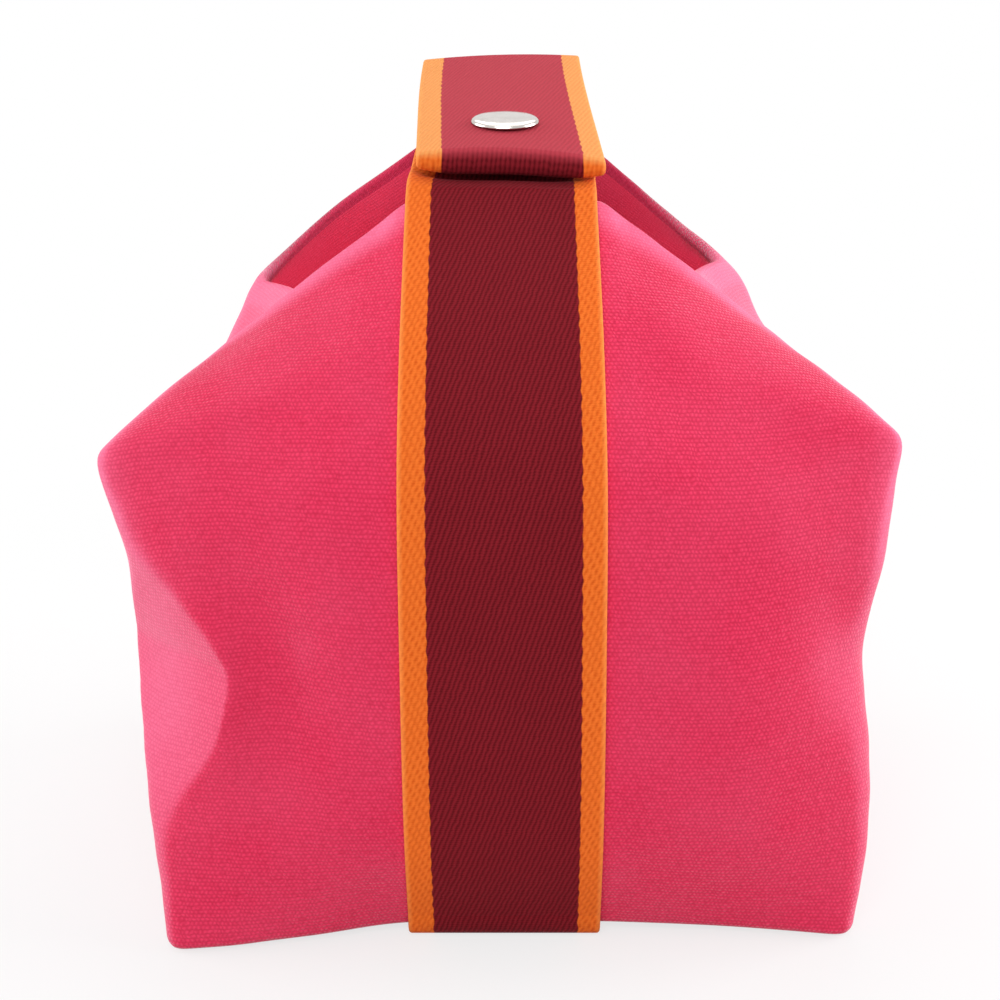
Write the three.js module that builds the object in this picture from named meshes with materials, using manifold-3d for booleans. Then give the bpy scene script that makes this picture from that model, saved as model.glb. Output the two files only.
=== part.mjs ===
// A soft canvas travel pouch: five sewn canvas panels, a webbing strap that girths them and arches over the
// mouth as a carrying handle, and a press snap that closes the strap's folded tip on its front tab.
// Millimetres, +Z up. The pouch stands on z = 0 with its front towards -Y and the origin under its middle.
import * as THREE from 'three';
import { mergeVertices } from 'three/addons/utils/BufferGeometryUtils.js';
import Module from 'manifold-3d';

const wasm = await Module();
wasm.setup();

// Cloth and fits
const fitGap = 0.3;
const canvasThickness = 1.2;
const facingThickness = 0.9;
const facingDepth = 22;
const bindingWidth = 7;
const bindingThickness = 2.2;
const bindingTopGap = 6;
const baseTapeWidth = 10;
const baseTapeThickness = 1.2;

// Base and walls
const baseWidth = 177;
const baseDepth = 132;
const waistWidth = 185;
const waistHeight = 84;
const frontSwell = 16;
const backSwell = 16;
const footHeight = 33;
const footSwell = 12;

// Shoulders, where the side walls begin to tuck in
const shoulderWidth = 200;
const shoulderHeight = 127;
const shoulderInset = 6;
const chestHeight = 127;
const chestSwell = 12;

// Rim of the mouth
const frontRimHeight = 188.5;
const frontRimInset = 39.5;
const frontSlopeHeight = 152;
const frontSlopeInset = 3;
const backRimHeight = 197;
const backRimInset = -10;
const backSlopeHeight = 165;
const backSlopeInset = -12;
const cornerRimWidth = 153;
const frontCornerRimHeight = 149;
const backCornerRimHeight = 154;
const frontCornerRimInset = 28;
const backCornerRimInset = 5;
const gussetRimWidth = 112;
const gussetRimHeight = 154;
const gussetFoldWidth = 176;
const gussetFoldHeight = 112;
const gussetTuckPower = 1.5;

// Webbing strap
const strapWidth = 50;
const strapThickness = 2;
const strapMargin = 3;
const handleTilt = THREE.MathUtils.degToRad(13);
const handleBend = 5;
const snapSetback = 65.7;
const handleRise = 9.2;
const tipReach = 25.6;
const tipTail = 21;
const tipUnderTail = 17;
const tabTail = 16;
const tabLead = 12;

// Press snap, measured on its own axis
const capRadius = 9.5;
const capRise = 1.4;
const capBevel = 1.1;
const postRadius = 2;
const holeClearance = 0.4;
const socketRadius = 5.6;
const socketHeight = 2.4;
const socketNeck = 0.8;
const studHeadRadius = 2.6;
const studHeadHeight = 1.5;
const studFlangeRadius = 5.2;
const studFlangeHeight = 0.8;
const studPostRadius = 1.9;
const eyeletHeight = 0.8;
const eyeletRadius = 5.2;
const roundSides = 28;

// Mesh density of the cloth
const panelColumns = 16;
const gussetColumns = 10;
const wallRows = 14;
const facingRows = 2;
const bindingSteps = 12;
const turnSteps = 6;
const normalStep = 0.01;
const edgeStep = 0.02;

const halfDepth = baseDepth / 2;
const flatHalf = strapWidth / 2 + strapMargin;
const strapRaise = strapThickness + fitGap;
const handleHeight = backRimHeight + handleRise;

const canvasPink = { color: 0xe63c69, roughness: 0.85, metalness: 0 };
const facingPink = { color: 0xd7233f, roughness: 0.85, metalness: 0 };
const tapePink = { color: 0xc92c55, roughness: 0.85, metalness: 0 };
const webbing = { color: 0x6e1722, roughness: 0.8, metalness: 0 };
const silver = { color: 0xcdd2cd, roughness: 0.25, metalness: 1 };

const pouch = new THREE.Group();

function addPiece(parent, name, geometry, look) {
  const mesh = new THREE.Mesh(geometry, new THREE.MeshStandardMaterial(look));
  mesh.name = name;
  parent.add(mesh);
}

function toSolid(geometry) {
  const bare = geometry.clone();
  bare.deleteAttribute('normal');
  bare.deleteAttribute('uv');
  const merged = mergeVertices(bare);
  const vertProperties = new Float32Array(merged.attributes.position.array);
  const triVerts = new Uint32Array(merged.index.array);
  return new wasm.Manifold(new wasm.Mesh({ numProp: 3, vertProperties, triVerts }));
}

function cut(geometry, tool) {
  const mesh = toSolid(geometry).subtract(toSolid(tool)).getMesh();
  const result = new THREE.BufferGeometry();
  result.setAttribute('position', new THREE.Float32BufferAttribute(mesh.vertProperties, mesh.numProp));
  result.setIndex(Array.from(mesh.triVerts));
  return result;
}

// Lines that run up the walls from the base seam to the rim. Each carries the right-hand side, with x > 0.
function curveThrough(...points) {
  return new THREE.CatmullRomCurve3(points.map(([x, y, z]) => new THREE.Vector3(x, y, z)));
}

const frontCentre = curveThrough(
  [0, -halfDepth, strapRaise],
  [0, -halfDepth - footSwell, footHeight],
  [0, -halfDepth - frontSwell, waistHeight],
  [0, -halfDepth - chestSwell, chestHeight],
  [0, -halfDepth + frontSlopeInset, frontSlopeHeight],
  [0, -halfDepth + frontRimInset, frontRimHeight],
);
const backCentre = curveThrough(
  [0, halfDepth, strapRaise],
  [0, halfDepth + footSwell, footHeight],
  [0, halfDepth + backSwell, waistHeight],
  [0, halfDepth + chestSwell, chestHeight],
  [0, halfDepth - backSlopeInset, backSlopeHeight],
  [0, halfDepth - backRimInset, backRimHeight],
);
const frontCorner = curveThrough(
  [baseWidth / 2, -halfDepth, 0],
  [waistWidth / 2, -halfDepth, waistHeight],
  [shoulderWidth / 2, -halfDepth + shoulderInset, shoulderHeight],
  [cornerRimWidth / 2, -halfDepth + frontCornerRimInset, frontCornerRimHeight],
);
const backCorner = curveThrough(
  [baseWidth / 2, halfDepth, 0],
  [waistWidth / 2, halfDepth, waistHeight],
  [shoulderWidth / 2, halfDepth - shoulderInset, shoulderHeight],
  [cornerRimWidth / 2, halfDepth - backCornerRimInset, backCornerRimHeight],
);
const gussetCentre = curveThrough(
  [baseWidth / 2, 0, 0],
  [waistWidth / 2, 0, waistHeight],
  [gussetFoldWidth / 2, 0, gussetFoldHeight],
  [gussetRimWidth / 2, (frontCornerRimInset - backCornerRimInset) / 2, gussetRimHeight],
);

// Outer faces of the walls as functions of a share across (-1 to 1) and a share up the wall (0 to 1).
// Every wall runs anticlockwise round the pouch as seen from above.
function panelPoint(centreLine, cornerLine, across, up) {
  const centre = centreLine.getPointAt(up);
  const corner = cornerLine.getPointAt(up);
  const flatShare = flatHalf / (baseWidth / 2);
  const reach = Math.abs(across);
  const out = Math.max(0, (reach - flatShare) / (1 - flatShare));
  const flat = Math.min(1, reach / flatShare) * flatHalf;
  const x = out > 0 ? THREE.MathUtils.lerp(flatHalf, corner.x, out) : flat;
  const y = THREE.MathUtils.lerp(centre.y, corner.y, out * out);
  const z = THREE.MathUtils.lerp(centre.z, corner.z, out);
  return new THREE.Vector3(Math.sign(across) * x, y, z);
}

function gussetPoint(across, up) {
  const front = frontCorner.getPointAt(up);
  const back = backCorner.getPointAt(up);
  const middle = front.clone().lerp(back, 0.5);
  const tuck = gussetCentre.getPointAt(up).sub(middle);
  const depth = 1 - Math.abs(across) ** gussetTuckPower;
  return front.lerp(back, (across + 1) / 2).addScaledVector(tuck, depth);
}

const mirrored = (point) => point.setX(-point.x);
const walls = {
  front: (across, up) => panelPoint(frontCentre, frontCorner, across, up),
  right: (across, up) => gussetPoint(across, up),
  back: (across, up) => panelPoint(backCentre, backCorner, -across, up),
  left: (across, up) => mirrored(gussetPoint(-across, up)),
};

function wallNormal(wall, across, up) {
  const low = Math.max(0, up - normalStep);
  const high = Math.min(1, up + normalStep);
  const near = Math.max(-1, across - normalStep);
  const far = Math.min(1, across + normalStep);
  const along = wall(far, up).sub(wall(near, up));
  const rise = wall(across, high).sub(wall(across, low));
  return along.cross(rise).normalize();
}

// Inward way through the cloth at a corner seam, where two walls meet in a mitre.
function mitre(wall, nextWall, up) {
  const first = wallNormal(wall, 1, up);
  const second = wallNormal(nextWall, -1, up);
  return first.clone().add(second).divideScalar(1 + first.dot(second));
}

// A closed sheet between two grids of points, with its outer grid facing out.
function sheetGeometry(outer, inner) {
  const rows = outer.length - 1;
  const columns = outer[0].length - 1;
  const positions = [...outer.flat(), ...inner.flat()].flatMap((point) => point.toArray());
  const innerStart = outer.flat().length;
  const at = (row, column) => row * (columns + 1) + column;
  const faces = [];
  const quad = (a, b, c, d) => faces.push(a, b, c, a, c, d);
  for (let row = 0; row < rows; row += 1) {
    for (let column = 0; column < columns; column += 1) {
      const [a, b, c, d] = [at(row, column), at(row, column + 1), at(row + 1, column + 1), at(row + 1, column)];
      quad(a, b, c, d);
      quad(a + innerStart, d + innerStart, c + innerStart, b + innerStart);
    }
  }
  const rim = [];
  for (let column = 0; column < columns; column += 1) {
    rim.push(at(0, column));
  }
  for (let row = 0; row < rows; row += 1) {
    rim.push(at(row, columns));
  }
  for (let column = columns; column > 0; column -= 1) {
    rim.push(at(rows, column));
  }
  for (let row = rows; row > 0; row -= 1) {
    rim.push(at(row, 0));
  }
  rim.forEach((corner, index) => {
    const next = rim[(index + 1) % rim.length];
    quad(next, corner, corner + innerStart, next + innerStart);
  });
  const geometry = new THREE.BufferGeometry();
  geometry.setAttribute('position', new THREE.Float32BufferAttribute(positions, 3));
  geometry.setIndex(faces);
  return geometry;
}

const shares = (count, from, to) => Array.from({ length: count + 1 }, (_, i) => from + ((to - from) * i) / count);

// Rows of a wall's grid, with the last ones on the rim's facing, so that wall and facing bend together.
const facingStart = 1 - facingDepth / frontCentre.getLength();
const facingShares = shares(facingRows, facingStart, 1);
const wallShares = [...shares(wallRows, 0, facingStart), ...facingShares.slice(1)];

// A wall from seam to seam. Its side edges are mitred and stand half a fit gap off the seam.
function wallGeometry(order, columns) {
  const [before, wall, after] = order.map((name) => walls[name]);
  const grid = (depth) =>
    wallShares.map((up) =>
      shares(columns, -1, 1).map((across) => {
        const point = wall(across, up);
        const side = Math.abs(across) === 1 ? Math.sign(across) : 0;
        if (side === 0) return point.addScaledVector(wallNormal(wall, across, up), -depth);
        const through = side > 0 ? mitre(wall, after, up) : mitre(before, wall, up);
        const inside = wall(across - side * edgeStep, up).sub(point).normalize();
        return point.addScaledVector(through, -depth).addScaledVector(inside, fitGap);
      }),
    );
  return sheetGeometry(grid(0), grid(canvasThickness));
}

// A turned-in facing behind a wall's rim, one column short of the corner seams.
function facingGeometry(name, columns) {
  const wall = walls[name];
  const grid = (depth) =>
    facingShares.map((up) =>
      shares(columns, -1, 1)
        .slice(1, -1)
        .map((across) => wall(across, up).addScaledVector(wallNormal(wall, across, up), -depth)),
    );
  const start = canvasThickness + fitGap;
  return sheetGeometry(grid(start), grid(start + facingThickness));
}

// The bound seam allowance that stands inwards along a corner seam.
function bindingGeometry(first, second) {
  const wall = walls[first];
  const nextWall = walls[second];
  const seamLength = frontCorner.getLength();
  const low = (baseTapeThickness + canvasThickness + bindingTopGap) / seamLength;
  const high = facingStart - bindingTopGap / seamLength;
  const edge = (reach, side) =>
    shares(bindingSteps, low, high).map((up) => {
      const through = mitre(wall, nextWall, up);
      const inward = through.clone().normalize().negate();
      const sine = 1 / through.length();
      const root = canvasThickness / sine + (bindingThickness / 2 + fitGap) / sine;
      const rise = wall(1, Math.min(1, up + normalStep)).sub(wall(1, up - normalStep)).normalize();
      const flat = rise.clone().cross(inward).normalize();
      const seam = wall(1, up);
      return seam.addScaledVector(inward, root + reach).addScaledVector(flat, (side * bindingThickness) / 2);
    });
  const face = (side) => [edge(0, side), edge(bindingWidth, side)];
  const [rootLow, tipLow] = face(-1);
  const [rootHigh, tipHigh] = face(1);
  const pairs = (a, b) => a.map((point, index) => [point, b[index]]);
  return sheetGeometry(pairs(tipHigh, rootHigh), pairs(tipLow, rootLow));
}

addPiece(pouch, 'front_panel', wallGeometry(['left', 'front', 'right'], panelColumns), canvasPink);
addPiece(pouch, 'right_gusset', wallGeometry(['front', 'right', 'back'], gussetColumns), canvasPink);
addPiece(pouch, 'back_panel', wallGeometry(['right', 'back', 'left'], panelColumns), canvasPink);
addPiece(pouch, 'left_gusset', wallGeometry(['back', 'left', 'front'], gussetColumns), canvasPink);

addPiece(pouch, 'front_rim_facing', facingGeometry('front', panelColumns), facingPink);
addPiece(pouch, 'back_rim_facing', facingGeometry('back', panelColumns), facingPink);
addPiece(pouch, 'left_rim_facing', facingGeometry('left', gussetColumns), facingPink);
addPiece(pouch, 'right_rim_facing', facingGeometry('right', gussetColumns), facingPink);

addPiece(pouch, 'seam_binding_front_right', bindingGeometry('front', 'right'), tapePink);
addPiece(pouch, 'seam_binding_back_right', bindingGeometry('right', 'back'), tapePink);
addPiece(pouch, 'seam_binding_back_left', bindingGeometry('back', 'left'), tapePink);
addPiece(pouch, 'seam_binding_front_left', bindingGeometry('left', 'front'), tapePink);

// A flat outline in the YZ plane, drawn as (y, z) and extruded along X about the middle of the pouch.
function alongX(outline, width) {
  const geometry = new THREE.ExtrudeGeometry(new THREE.Shape(outline), { depth: width, bevelEnabled: false });
  const turn = new THREE.Matrix4().makeBasis(
    new THREE.Vector3(0, 1, 0),
    new THREE.Vector3(0, 0, 1),
    new THREE.Vector3(1, 0, 0),
  );
  return geometry.translate(0, 0, -width / 2).applyMatrix4(turn);
}

// Height of the sagging base over the floor. It rises towards the strap that runs under it.
function footLift(x) {
  const share = (baseWidth / 2 - Math.abs(x)) / (baseWidth / 2 - flatHalf);
  return strapRaise * Math.min(1, share);
}

function basePlate(halfWidth, depth, lift, thickness) {
  const foot = [-halfWidth, -flatHalf, flatHalf, halfWidth].map((x) => new THREE.Vector2(x, footLift(x) + lift));
  const top = foot.map((point) => new THREE.Vector2(point.x, point.y + thickness)).reverse();
  const geometry = new THREE.ExtrudeGeometry(new THREE.Shape([...foot, ...top]), { depth, bevelEnabled: false });
  return geometry.rotateX(Math.PI / 2).translate(0, depth / 2, 0);
}

// The tape that covers the base seam inside, all round the edge of the base panel.
function baseTapeGeometry() {
  const inset = canvasThickness + 2 * fitGap;
  const halfWidth = baseWidth / 2 - inset;
  const depth = baseDepth - 2 * inset;
  const plate = basePlate(halfWidth, depth, canvasThickness + fitGap, baseTapeThickness);
  const window = new THREE.BoxGeometry(2 * (halfWidth - baseTapeWidth), depth - 2 * baseTapeWidth, baseDepth);
  return cut(plate, window);
}

const baseInset = canvasThickness + fitGap;
const basePanel = basePlate(baseWidth / 2 - baseInset, baseDepth - 2 * baseInset - 2 * fitGap, 0, canvasThickness);
addPiece(pouch, 'base_panel', basePanel, canvasPink);
addPiece(pouch, 'base_seam_tape', baseTapeGeometry(), tapePink);

// The strap's route on the pouch: points on the cloth that it lies on, and the way out of that cloth. It keeps
// the wall's own rows, so that strap and wall bend together.
function wallRoute(centreLine, outward) {
  const start = fitGap / centreLine.getLength();
  return [start, ...wallShares.slice(1)].map((up) => {
    const point = centreLine.getPointAt(up);
    const tangent = centreLine.getTangentAt(up);
    const out = new THREE.Vector2(tangent.z, -tangent.y).multiplyScalar(outward);
    return { point: new THREE.Vector2(point.y, point.z), out: out.normalize() };
  });
}

// The turn from the foot of a wall, round the edge of the base, to the way straight down.
function footTurn(route) {
  const { x, y } = route[0].out;
  const steep = Math.atan2(y, x);
  const down = -Math.PI / 2;
  const turn = THREE.MathUtils.euclideanModulo(down - steep + Math.PI, 2 * Math.PI) - Math.PI;
  const corner = new THREE.Vector2(Math.sign(x) * halfDepth, strapRaise);
  return shares(turnSteps, 0, 1).map((share) => {
    const angle = steep + turn * share;
    return { point: corner, out: new THREE.Vector2(Math.cos(angle), Math.sin(angle)) };
  });
}

function strapBand(route) {
  const face = (depth) => route.map(({ point, out }) => point.clone().addScaledVector(out, depth));
  return alongX([...face(fitGap), ...face(fitGap + strapThickness).reverse()], strapWidth);
}

const frontRoute = wallRoute(frontCentre, -1);
const backRoute = wallRoute(backCentre, 1);
addPiece(pouch, 'front_strap', strapBand(frontRoute), webbing);
addPiece(pouch, 'base_strap', strapBand([...footTurn(frontRoute), ...footTurn(backRoute).reverse()]), webbing);
addPiece(pouch, 'back_strap', strapBand(backRoute), webbing);

// Everything above the mouth is drawn on the snap's own axes: the handle's top face is z = 0, the snap's axis
// is x = y = 0, and +Y runs back along the handle.
const top = new THREE.Group();
top.position.set(0, -halfDepth + snapSetback, handleHeight);
top.rotation.x = handleTilt;
pouch.add(top);

function onTop(point) {
  const origin = new THREE.Vector2(top.position.y, top.position.z);
  return point.clone().sub(origin).rotateAround(new THREE.Vector2(), -handleTilt);
}

// Where the strap leaves a wall at the rim, and the way it heads there, on the snap's axes.
function rimExit(route) {
  const last = route[route.length - 1];
  const middle = last.point.clone().addScaledVector(last.out, fitGap + strapThickness / 2);
  const outward = Math.sign(last.out.x);
  const heading = new THREE.Vector2(-last.out.y, last.out.x).multiplyScalar(outward);
  const start = onTop(middle.addScaledVector(heading, fitGap));
  return { start, heading: heading.rotateAround(new THREE.Vector2(), -handleTilt) };
}

// The outline of a strip of webbing whose middle follows the given points.
function ribbonOutline(points) {
  const sides = points.map((point, index) => {
    const before = points[Math.max(0, index - 1)];
    const after = points[Math.min(points.length - 1, index + 1)];
    const tangent = after.clone().sub(before).normalize();
    return new THREE.Vector2(-tangent.y, tangent.x).multiplyScalar(strapThickness / 2);
  });
  const upper = points.map((point, index) => point.clone().add(sides[index]));
  const lower = points.map((point, index) => point.clone().sub(sides[index]));
  return [...lower, ...upper.reverse()];
}

// Levels of the snap's stack, from the handle's top face down
const foldDepth = 2 * strapThickness + fitGap;
const socketTop = -foldDepth - fitGap;
const socketBottom = socketTop - socketHeight;
const flangeTop = socketBottom - fitGap;
const flangeBottom = flangeTop - studFlangeHeight;
const tabTop = flangeBottom - fitGap;
const tabBottom = tabTop - strapThickness;
const eyeletTop = tabBottom - fitGap;
const eyeletBottom = eyeletTop - eyeletHeight;

function turned(profile) {
  const points = profile.map(([radius, height]) => new THREE.Vector2(radius, height));
  return new THREE.LatheGeometry(points, roundSides).rotateX(Math.PI / 2);
}

function snapHole(radius) {
  return new THREE.CylinderGeometry(radius, radius, handleHeight, roundSides).rotateX(Math.PI / 2);
}

// The front strap's end, which bends back over the mouth and carries the stud.
function frontTabGeometry() {
  const { start, heading } = rimExit(frontRoute);
  const level = tabTop - strapThickness / 2;
  const flatStart = new THREE.Vector2(-tabLead, level);
  const pull = flatStart.distanceTo(start) / 3;
  const bend = new THREE.CubicBezierCurve(
    start,
    start.clone().addScaledVector(heading, pull),
    flatStart.clone().sub(new THREE.Vector2(pull, 0)),
    flatStart,
  );
  const middle = [...bend.getPoints(turnSteps), new THREE.Vector2(tabTail, level)];
  return cut(alongX(ribbonOutline(middle), strapWidth), snapHole(studPostRadius + holeClearance));
}

// The handle: flat from the tip's hinge line to a round bend, then down to the back strap.
function handleGeometry() {
  const { start, heading } = rimExit(backRoute);
  const level = -strapThickness / 2;
  const corner = start.clone().addScaledVector(heading, (level - start.y) / heading.y);
  const ahead = new THREE.Vector2(1, 0);
  const turn = Math.PI - Math.acos(ahead.dot(heading));
  const bendRun = handleBend * Math.tan(turn / 2);
  const centre = corner.clone().add(new THREE.Vector2(-bendRun, -handleBend));
  const bend = shares(2 * turnSteps, 0, turn).map((angle) =>
    centre.clone().add(new THREE.Vector2(handleBend * Math.sin(angle), handleBend * Math.cos(angle))),
  );
  const middle = [new THREE.Vector2(tipTail + fitGap, level), ...bend, start];
  return alongX(ribbonOutline(middle), strapWidth);
}

// The handle's tip: webbing turned under itself in a round fold.
function handleTipGeometry() {
  const foldRadius = foldDepth / 2;
  const foldCentre = new THREE.Vector2(foldRadius - tipReach, -foldRadius);
  const fold = (radius) =>
    shares(turnSteps, Math.PI / 2, (3 * Math.PI) / 2).map((angle) =>
      foldCentre.clone().add(new THREE.Vector2(radius * Math.cos(angle), radius * Math.sin(angle))),
    );
  const outline = [
    new THREE.Vector2(tipTail, 0),
    ...fold(foldRadius),
    new THREE.Vector2(tipUnderTail, -foldDepth),
    new THREE.Vector2(tipUnderTail, -foldDepth + strapThickness),
    ...fold(foldRadius - strapThickness).reverse(),
    new THREE.Vector2(tipTail, -strapThickness),
  ];
  return cut(alongX(outline, strapWidth), snapHole(postRadius + holeClearance));
}

// The cap's post passes through both layers of the tip into the socket's neck.
function snapCapGeometry() {
  const foot = socketTop - socketNeck + fitGap;
  const rise = fitGap + capRise;
  return turned([
    [0, foot],
    [postRadius, foot],
    [postRadius, fitGap],
    [capRadius - capBevel / 2, fitGap],
    [capRadius, fitGap + capRise / 2],
    [capRadius - capBevel, rise],
    [0, rise],
  ]);
}

function snapSocketGeometry() {
  const neckRadius = postRadius + fitGap;
  const bowlRadius = studHeadRadius + holeClearance;
  const bowlTop = socketTop - socketNeck;
  return turned([
    [bowlRadius, socketBottom],
    [socketRadius, socketBottom],
    [socketRadius, socketTop],
    [neckRadius, socketTop],
    [neckRadius, bowlTop],
    [bowlRadius, bowlTop],
    [bowlRadius, socketBottom],
  ]);
}

// The stud's head narrows to its flange, so that the socket's bowl can hold it.
function snapStudGeometry() {
  const headTop = flangeTop + studHeadHeight;
  const neckRadius = studHeadRadius - holeClearance;
  return turned([
    [0, eyeletBottom],
    [studPostRadius, eyeletBottom],
    [studPostRadius, flangeBottom],
    [studFlangeRadius, flangeBottom],
    [studFlangeRadius, flangeTop],
    [neckRadius, flangeTop],
    [studHeadRadius, flangeTop + studHeadHeight / 2],
    [neckRadius, headTop],
    [0, headTop],
  ]);
}

function snapEyeletGeometry() {
  const boreRadius = studPostRadius + fitGap;
  return turned([
    [boreRadius, eyeletBottom],
    [eyeletRadius, eyeletBottom],
    [eyeletRadius, eyeletTop],
    [boreRadius, eyeletTop],
    [boreRadius, eyeletBottom],
  ]);
}

addPiece(top, 'front_tab', frontTabGeometry(), webbing);
addPiece(top, 'handle_strap', handleGeometry(), webbing);
addPiece(top, 'handle_tip', handleTipGeometry(), webbing);
addPiece(top, 'snap_cap', snapCapGeometry(), silver);
addPiece(top, 'snap_socket', snapSocketGeometry(), silver);
addPiece(top, 'snap_stud', snapStudGeometry(), silver);
addPiece(top, 'snap_eyelet', snapEyeletGeometry(), silver);

export default pouch;
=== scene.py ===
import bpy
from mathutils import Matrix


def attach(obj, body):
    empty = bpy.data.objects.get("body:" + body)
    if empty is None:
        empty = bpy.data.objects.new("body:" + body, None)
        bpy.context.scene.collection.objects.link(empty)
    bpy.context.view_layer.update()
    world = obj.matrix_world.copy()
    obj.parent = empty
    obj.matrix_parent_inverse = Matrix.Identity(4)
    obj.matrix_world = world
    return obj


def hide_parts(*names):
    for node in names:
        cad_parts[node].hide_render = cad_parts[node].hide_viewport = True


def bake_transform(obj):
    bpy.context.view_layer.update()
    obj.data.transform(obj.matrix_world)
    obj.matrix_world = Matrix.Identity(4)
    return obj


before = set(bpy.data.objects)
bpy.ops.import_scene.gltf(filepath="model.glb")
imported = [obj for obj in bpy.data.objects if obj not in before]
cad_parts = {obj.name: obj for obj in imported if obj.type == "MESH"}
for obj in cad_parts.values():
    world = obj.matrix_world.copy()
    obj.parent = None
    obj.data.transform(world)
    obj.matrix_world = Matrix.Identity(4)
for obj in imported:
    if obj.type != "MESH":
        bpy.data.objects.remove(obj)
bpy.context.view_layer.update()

import math

import bpy
import numpy as np

mm = 0.001
weldWithin = 1e-6
smoothShare = 0.25              # how far a point moves to its neighbours in one smoothing pass
print("frame loaded:", len(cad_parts), "nodes")

# camera at the photograph's angle
photoView = {
    "place": (0.0, -0.4175, 0.2280),
    "pitch": 12.83,             # degrees below level
    "focal": 1.487,             # in widths of the frame
    "sensor": 36.0,
    "shift": (-0.005, -0.12),
    "nearest": 0.01,
}
bpy.ops.object.camera_add(
    location=photoView["place"], rotation=(math.radians(90 - photoView["pitch"]), 0, 0)
)
camera = bpy.context.object
camera.data.sensor_width = photoView["sensor"]
camera.data.lens = photoView["focal"] * photoView["sensor"]
camera.data.shift_x, camera.data.shift_y = photoView["shift"]
camera.data.clip_start = photoView["nearest"]
bpy.context.scene.camera = camera
print("camera placed")


# lines and grids: a smooth line through points in mm, given as lengths along it and its own points in metres
def lineThrough(points, steps=60):
    knots = np.array(points, float) * mm
    ends = np.vstack([2 * knots[0] - knots[1], knots, 2 * knots[-1] - knots[-2]])
    t = np.linspace(0, 1, steps, endpoint=False)[:, None]
    runs = []
    for a, b, c, d in zip(ends, ends[1:], ends[2:], ends[3:]):
        before, here, after = (np.linalg.norm(gap) ** 0.5 for gap in (b - a, c - b, d - c))
        leave = ((b - a) / before - (c - a) / (before + here) + (c - b) / here) * here
        arrive = ((c - b) / here - (d - b) / (here + after) + (d - c) / after) * here
        bend = 3 * (c - b) - 2 * leave - arrive
        sway = 2 * (b - c) + leave + arrive
        runs.append(b + leave * t + bend * t**2 + sway * t**3)
    line = np.vstack(runs + [knots[-1:]])
    return lengthAlong(line), line


def lengthAlong(points, axis=0):
    steps = np.linalg.norm(np.diff(points, axis=axis), axis=-1)
    start = np.zeros_like(np.take(steps, [0], axis=axis))
    return np.concatenate([start, np.cumsum(steps, axis=axis)], axis=axis)


def onLine(line, share):
    along, points = line
    at = np.asarray(share) * along[-1]
    return np.stack([np.interp(at, along, points[:, k]) for k in range(3)], axis=-1)


def smoothStep(low, high, value):
    t = np.clip((value - low) / (high - low), 0, 1)
    return t * t * (3 - 2 * t)


def unit(vectors):
    return vectors / np.maximum(np.linalg.norm(vectors, axis=-1, keepdims=True), 1e-12)


# a closed cloth sheet between two grids of points; flat holds the weave's own coordinates in metres
def sheetObject(name, outer, inner, flat, normals=None, openSides=True, lightAndWear=None):
    rows, columns = outer.shape[:2]
    count = rows * columns
    points = np.vstack([outer.reshape(-1, 3), inner.reshape(-1, 3)])
    index = np.arange(count).reshape(rows, columns)
    a, b, c, d = index[:-1, :-1], index[:-1, 1:], index[1:, 1:], index[1:, :-1]
    quads = [np.stack([a, b, c, d], -1).reshape(-1, 4)]
    quads.append(np.stack([a, d, c, b], -1).reshape(-1, 4) + count)
    edges = [index[0], index[-1][::-1]]
    if openSides:
        edges += [index[:, -1], index[:, 0][::-1]]
    for edge in edges:
        p, q = edge[:-1], edge[1:]
        quads.append(np.stack([q, p, p + count, q + count], -1))
    faces = np.vstack(quads)
    mesh = bpy.data.meshes.new(name)
    mesh.from_pydata(points.tolist(), [], faces.tolist())
    weave = mesh.uv_layers.new(name="weave")
    uv = np.vstack([flat.reshape(-1, 2)] * 2)
    weave.data.foreach_set("uv", uv[faces.ravel()].astype(np.float32).ravel())
    # each point carries a share of painted sheen and painted light, with rubbed wear on the canvas, which the
    # shaders turn paler
    lightAndWearShare = np.zeros(count) if lightAndWear is None else lightAndWear.ravel()
    mesh.attributes.new("paintedLightAndWear", "FLOAT", "POINT").data.foreach_set(
        "value", np.tile(lightAndWearShare, 2).astype(np.float32))
    faceCount = 2 * (rows - 1) * (columns - 1)
    mesh.polygons.foreach_set("use_smooth", [k < faceCount for k in range(len(mesh.polygons))])
    mesh.update()
    piece = bpy.data.objects.new(name, mesh)
    bpy.context.scene.collection.objects.link(piece)
    if normals is not None:
        both = np.vstack([normals.reshape(-1, 3), -normals.reshape(-1, 3)])
        mesh.normals_split_custom_set_from_vertices(both.tolist())
    return piece


def mergeDoubles(piece):
    bpy.ops.object.select_all(action="DESELECT")
    bpy.context.view_layer.objects.active = piece
    piece.select_set(True)
    bpy.ops.object.mode_set(mode="EDIT")
    bpy.ops.mesh.select_all(action="SELECT")
    bpy.ops.mesh.remove_doubles(threshold=weldWithin)
    bpy.ops.object.mode_set(mode="OBJECT")
    piece.select_set(False)


def finishPiece(piece, material, nodes, body=None):
    piece.data.materials.append(material)
    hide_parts(*nodes)
    if body:
        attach(piece, body)


# shader nodes
def newMaterial(name):
    material = bpy.data.materials.new(name)
    material.use_nodes = True
    return material, material.node_tree, material.node_tree.nodes["Principled BSDF"]


def addNode(tree, kind, values=None, **settings):
    node = tree.nodes.new(kind)
    for key, value in settings.items():
        setattr(node, key, value)
    for key, value in (values or {}).items():
        if isinstance(value, bpy.types.NodeSocket):
            tree.links.new(value, node.inputs[key])
        else:
            node.inputs[key].default_value = value
    return node


def calc(tree, operation, *terms, clamp=False):
    values = dict(enumerate(terms))
    return addNode(tree, "ShaderNodeMath", values, operation=operation, use_clamp=clamp).outputs[0]


def toShare(tree, swing):
    return calc(tree, "MULTIPLY_ADD", swing, 0.5, 0.5)


def centred(tree, noise, size):
    return calc(tree, "MULTIPLY", calc(tree, "SUBTRACT", noise, 0.5), size)


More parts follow.
